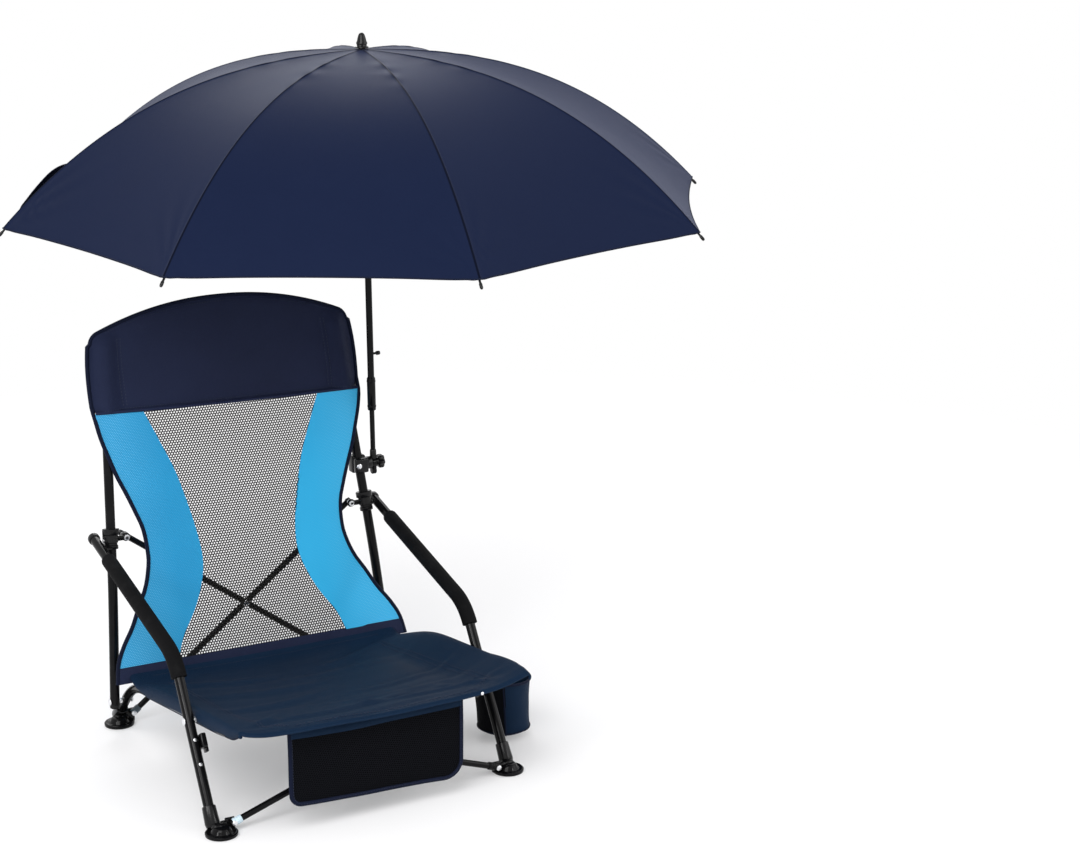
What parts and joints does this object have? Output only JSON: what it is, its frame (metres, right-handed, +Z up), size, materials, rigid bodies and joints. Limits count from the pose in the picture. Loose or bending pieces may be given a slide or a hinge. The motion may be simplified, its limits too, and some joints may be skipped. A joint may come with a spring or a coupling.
{
  "type": "folding beach chair with umbrella",
  "caption": "Low folding beach chair with cloth seat and back, padded arms, a cup holder, a front pocket and a clamp-on tilting umbrella.",
  "frame": {"origin": "middle of the whole object's box, on the floor", "axes": "+Z up, +Y towards the back, +X towards the side with the umbrella and the cup holder"},
  "size_m": [1.205, 1.2042, 1.1312],
  "materials": {
    "black_steel": "gloss",
    "black_plastic": "satin",
    "foam": "matte",
    "rivet_steel": "satin",
    "navy_cloth": "matte",
    "blue_and_grey_mesh": "matte",
    "black_mesh": "matte"
  },
  "bodies": {
    "right_frame": {"right_seat_rail": "black_steel", "right_rear_foot": "black_plastic", "right_leg_pivot_pin": "rivet_steel", "right_back_pivot_pin": "rivet_steel", "seat_cloth": "navy_cloth", "front_pocket": "black_mesh", "cup_holder": "navy_cloth"},
    "left_frame": {"left_seat_rail": "black_steel", "left_rear_foot": "black_plastic", "left_leg_pivot_pin": "rivet_steel", "left_back_pivot_pin": "rivet_steel"},
    "right_leg": {"right_leg_arm_tube": "black_steel", "right_arm_foam": "foam", "right_arm_end_cap": "black_plastic", "right_front_foot": "black_plastic", "right_leg_bracket": "black_plastic"},
    "left_leg": {"left_leg_arm_tube": "black_steel", "left_arm_foam": "foam", "left_arm_end_cap": "black_plastic", "left_front_foot": "black_plastic", "left_leg_bracket": "black_plastic"},
    "right_back": {"right_back_upright": "black_steel", "back_header_cloth": "navy_cloth", "back_panel_cloth": "blue_and_grey_mesh"},
    "left_back": {"left_back_upright": "black_steel"},
    "right_slide": {"right_slider": "black_plastic"},
    "left_slide": {"left_slider": "black_plastic"},
    "rear_strut_a": {"rear_strut_from_right": "black_steel", "rear_cross_pin": "rivet_steel"},
    "rear_strut_b": {"rear_strut_from_left": "black_steel"},
    "front_bar_a": {"front_bar_right": "black_steel", "front_knuckle_pin": "rivet_steel"},
    "front_bar_b": {"front_bar_left": "black_steel"},
    "clamp": {"umbrella_clamp": "black_plastic"},
    "knob": {"clamp_knob": "black_plastic"},
    "lower_mast": {"lower_pole": "black_steel"},
    "upper_mast": {"upper_pole": "black_steel", "lock_button": "black_plastic", "crown": "black_plastic", "canopy_cloth": "navy_cloth"},
    "runner_body": {"runner": "black_plastic"},
    "rib_body_1": {"rib_1": "black_steel"},
    "stretcher_body_1": {"stretcher_1": "black_steel"},
    "rib_body_2": {"rib_2": "black_steel"},
    "stretcher_body_2": {"stretcher_2": "black_steel"},
    "rib_body_3": {"rib_3": "black_steel"},
    "stretcher_body_3": {"stretcher_3": "black_steel"},
    "rib_body_4": {"rib_4": "black_steel"},
    "stretcher_body_4": {"stretcher_4": "black_steel"},
    "rib_body_5": {"rib_5": "black_steel"},
    "stretcher_body_5": {"stretcher_5": "black_steel"},
    "rib_body_6": {"rib_6": "black_steel"},
    "stretcher_body_6": {"stretcher_6": "black_steel"},
    "rib_body_7": {"rib_7": "black_steel"},
    "stretcher_body_7": {"stretcher_7": "black_steel"},
    "rib_body_8": {"rib_8": "black_steel"},
    "stretcher_body_8": {"stretcher_8": "black_steel"}
  },
  "joints": [
    {"name": "fold", "type": "slide", "parent": "right_frame", "child": "left_frame", "axis": [1, 0, 0], "range_m": [0, 0.10236], "deforming": ["seat_cloth", "front_pocket", "back_header_cloth", "back_panel_cloth"]},
    {"name": "right_leg_hinge", "type": "hinge", "parent": "right_frame", "child": "right_leg", "pos_m": [-0.00084, -0.3912, 0.14588], "axis": [1, 0, 0], "range_deg": [0, 16.67]},
    {"name": "right_back_hinge", "type": "hinge", "parent": "right_frame", "child": "right_back", "pos_m": [-0.00084, -0.03378, 0.054], "axis": [1, 0, 0], "range_deg": [0, 13.49]},
    {"name": "right_slider_slide", "type": "slide", "parent": "right_back", "child": "right_slide", "axis": [-0.0751, 0.2003, 0.9769], "range_m": [0, 0.10505]},
    {"name": "rear_strut_a_hinge", "type": "hinge", "parent": "right_frame", "child": "rear_strut_a", "pos_m": [-0.02784, -0.00075, 0.019], "axis": [0.2632, 0.9274, 0.2659], "range_deg": [0, 18.94]},
    {"name": "front_bar_a_hinge", "type": "hinge", "parent": "right_leg", "child": "front_bar_a", "pos_m": [-0.02034, -0.50065, 0.013], "axis": [0, 1, 0], "range_deg": [0, 24.59]},
    {"name": "left_leg_hinge", "type": "hinge", "parent": "left_frame", "child": "left_leg", "pos_m": [-0.48084, -0.3912, 0.14588], "axis": [1, 0, 0], "range_deg": [0, 16.67]},
    {"name": "left_back_hinge", "type": "hinge", "parent": "left_frame", "child": "left_back", "pos_m": [-0.48084, -0.03378, 0.054], "axis": [1, 0, 0], "range_deg": [0, 13.49]},
    {"name": "left_slider_slide", "type": "slide", "parent": "left_back", "child": "left_slide", "axis": [0.0751, 0.2003, 0.9769], "range_m": [0, 0.10505]},
    {"name": "rear_strut_b_hinge", "type": "hinge", "parent": "left_frame", "child": "rear_strut_b", "pos_m": [-0.45384, -0.01165, 0.019], "axis": [0.2644, -0.9265, -0.2677], "range_deg": [0, 18.78]},
    {"name": "front_bar_b_hinge", "type": "hinge", "parent": "left_leg", "child": "front_bar_b", "pos_m": [-0.46134, -0.48975, 0.013], "axis": [0, -1, 0], "range_deg": [0, 24.59]},
    {"name": "clamp_slide", "type": "slide", "parent": "right_back", "child": "clamp", "axis": [-0.0751, 0.2003, 0.9769], "range_m": [0, 0.10505]},
    {"name": "knob_turn", "type": "hinge", "parent": "clamp", "child": "knob", "pos_m": [0.02416, 0.0198, 0.386], "axis": [1, 0, 0], "continuous": true},
    {"name": "umbrella_tilt", "type": "hinge", "parent": "clamp", "child": "lower_mast", "pos_m": [0.01266, 0.0198, 0.386], "axis": [1, 0, 0], "range_deg": [-30, 30]},
    {"name": "mast_slide", "type": "slide", "parent": "lower_mast", "child": "upper_mast", "axis": [-0.028, -0.044, 0.9986], "range_m": [-0.08, 0.14]},
    {"name": "runner_slide", "type": "slide", "parent": "upper_mast", "child": "runner_body", "axis": [-0.028, -0.044, 0.9986], "range_m": [-0.06779, 0], "deforming": ["canopy_cloth"]},
    {"name": "rib_hinge_1", "type": "hinge", "parent": "upper_mast", "child": "rib_body_1", "pos_m": [-0.02027, -0.00954, 1.09898], "axis": [-0.1559, -0.9866, -0.0478], "range_deg": [0, 15.01]},
    {"name": "stretcher_hinge_1", "type": "hinge", "parent": "runner_body", "child": "stretcher_body_1", "pos_m": [-0.01878, -0.00508, 0.92676], "axis": [0.1559, 0.9866, 0.0478], "range_deg": [0, 5.01]},
    {"name": "rib_hinge_2", "type": "hinge", "parent": "upper_mast", "child": "rib_body_2", "pos_m": [-0.01793, -0.01929, 1.09862], "axis": [0.5879, -0.8087, -0.0191], "range_deg": [0, 15.01]},
    {"name": "stretcher_hinge_2", "type": "hinge", "parent": "runner_body", "child": "stretcher_body_2", "pos_m": [-0.01325, -0.01627, 0.92642], "axis": [-0.5879, 0.8087, 0.0191], "range_deg": [0, 5.01]},
    {"name": "rib_hinge_3", "type": "hinge", "parent": "upper_mast", "child": "rib_body_3", "pos_m": [-0.00938, -0.02453, 1.09863], "axis": [0.9874, -0.157, 0.0208], "range_deg": [0, 15.01]},
    {"name": "stretcher_hinge_3", "type": "hinge", "parent": "runner_body", "child": "stretcher_body_3", "pos_m": [-0.00144, -0.02028, 0.92658], "axis": [-0.9874, 0.157, -0.0208], "range_deg": [0, 5.01]},
    {"name": "rib_hinge_4", "type": "hinge", "parent": "upper_mast", "child": "rib_body_4", "pos_m": [0.00036, -0.02219, 1.099], "axis": [0.8084, 0.5866, 0.0485], "range_deg": [0, 15.01]},
    {"name": "stretcher_hinge_4", "type": "hinge", "parent": "runner_body", "child": "stretcher_body_4", "pos_m": [0.00974, -0.01477, 0.92713], "axis": [-0.8084, -0.5866, -0.0485], "range_deg": [0, 5.01]},
    {"name": "rib_hinge_5", "type": "hinge", "parent": "upper_mast", "child": "rib_body_5", "pos_m": [0.0056, -0.01366, 1.09953], "axis": [0.1559, 0.9866, 0.0478], "range_deg": [0, 15.01]},
    {"name": "stretcher_hinge_5", "type": "hinge", "parent": "runner_body", "child": "stretcher_body_5", "pos_m": [0.01374, -0.00297, 0.92776], "axis": [-0.1559, -0.9866, -0.0478], "range_deg": [0, 5.01]},
    {"name": "rib_hinge_6", "type": "hinge", "parent": "upper_mast", "child": "rib_body_6", "pos_m": [0.00325, -0.00392, 1.09989], "axis": [-0.5879, 0.8087, 0.0191], "range_deg": [0, 15.01]},
    {"name": "stretcher_hinge_6", "type": "hinge", "parent": "runner_body", "child": "stretcher_body_6", "pos_m": [0.00822, 0.00821, 0.9281], "axis": [0.5879, -0.8087, -0.0191], "range_deg": [0, 5.01]},
    {"name": "rib_hinge_7", "type": "hinge", "parent": "upper_mast", "child": "rib_body_7", "pos_m": [-0.0053, 0.00132, 1.09988], "axis": [-0.9874, 0.157, -0.0208], "range_deg": [0, 15.01]},
    {"name": "stretcher_hinge_7", "type": "hinge", "parent": "runner_body", "child": "stretcher_body_7", "pos_m": [-0.00359, 0.01222, 0.92795], "axis": [0.9874, -0.157, 0.0208], "range_deg": [0, 5.01]},
    {"name": "rib_hinge_8", "type": "hinge", "parent": "upper_mast", "child": "rib_body_8", "pos_m": [-0.01504, -0.00101, 1.0995], "axis": [-0.8084, -0.5866, -0.0485], "range_deg": [0, 15.01]},
    {"name": "stretcher_hinge_8", "type": "hinge", "parent": "runner_body", "child": "stretcher_body_8", "pos_m": [-0.01478, 0.00672, 0.92739], "axis": [0.8084, 0.5866, 0.0485], "range_deg": [0, 5.01]}
  ],
  "couplings": [
    {"joint": "right_leg_hinge", "follows": "fold", "rad_per_m": 2.8407},
    {"joint": "right_back_hinge", "follows": "fold", "rad_per_m": 2.2991},
    {"joint": "right_slider_slide", "follows": "fold", "ratio": 1.0258},
    {"joint": "rear_strut_a_hinge", "follows": "fold", "rad_per_m": 3.2287},
    {"joint": "front_bar_a_hinge", "follows": "fold", "rad_per_m": 4.1912},
    {"joint": "left_leg_hinge", "follows": "fold", "rad_per_m": 2.8407},
    {"joint": "left_back_hinge", "follows": "fold", "rad_per_m": 2.2991},
    {"joint": "left_slider_slide", "follows": "fold", "ratio": 1.0258},
    {"joint": "rear_strut_b_hinge", "follows": "fold", "rad_per_m": 3.2008},
    {"joint": "front_bar_b_hinge", "follows": "fold", "rad_per_m": 4.1912},
    {"joint": "clamp_slide", "follows": "fold", "ratio": 1.0258},
    {"joint": "rib_hinge_1", "follows": "runner_slide", "rad_per_m": -3.8618},
    {"joint": "stretcher_hinge_1", "follows": "runner_slide", "rad_per_m": -1.2891},
    {"joint": "rib_hinge_2", "follows": "runner_slide", "rad_per_m": -3.8618},
    {"joint": "stretcher_hinge_2", "follows": "runner_slide", "rad_per_m": -1.2891},
    {"joint": "rib_hinge_3", "follows": "runner_slide", "rad_per_m": -3.8618},
    {"joint": "stretcher_hinge_3", "follows": "runner_slide", "rad_per_m": -1.2891},
    {"joint": "rib_hinge_4", "follows": "runner_slide", "rad_per_m": -3.8618},
    {"joint": "stretcher_hinge_4", "follows": "runner_slide", "rad_per_m": -1.2891},
    {"joint": "rib_hinge_5", "follows": "runner_slide", "rad_per_m": -3.8618},
    {"joint": "stretcher_hinge_5", "follows": "runner_slide", "rad_per_m": -1.2891},
    {"joint": "rib_hinge_6", "follows": "runner_slide", "rad_per_m": -3.8618},
    {"joint": "stretcher_hinge_6", "follows": "runner_slide", "rad_per_m": -1.2891},
    {"joint": "rib_hinge_7", "follows": "runner_slide", "rad_per_m": -3.8618},
    {"joint": "stretcher_hinge_7", "follows": "runner_slide", "rad_per_m": -1.2891},
    {"joint": "rib_hinge_8", "follows": "runner_slide", "rad_per_m": -3.8618},
    {"joint": "stretcher_hinge_8", "follows": "runner_slide", "rad_per_m": -1.2891}
  ]
}
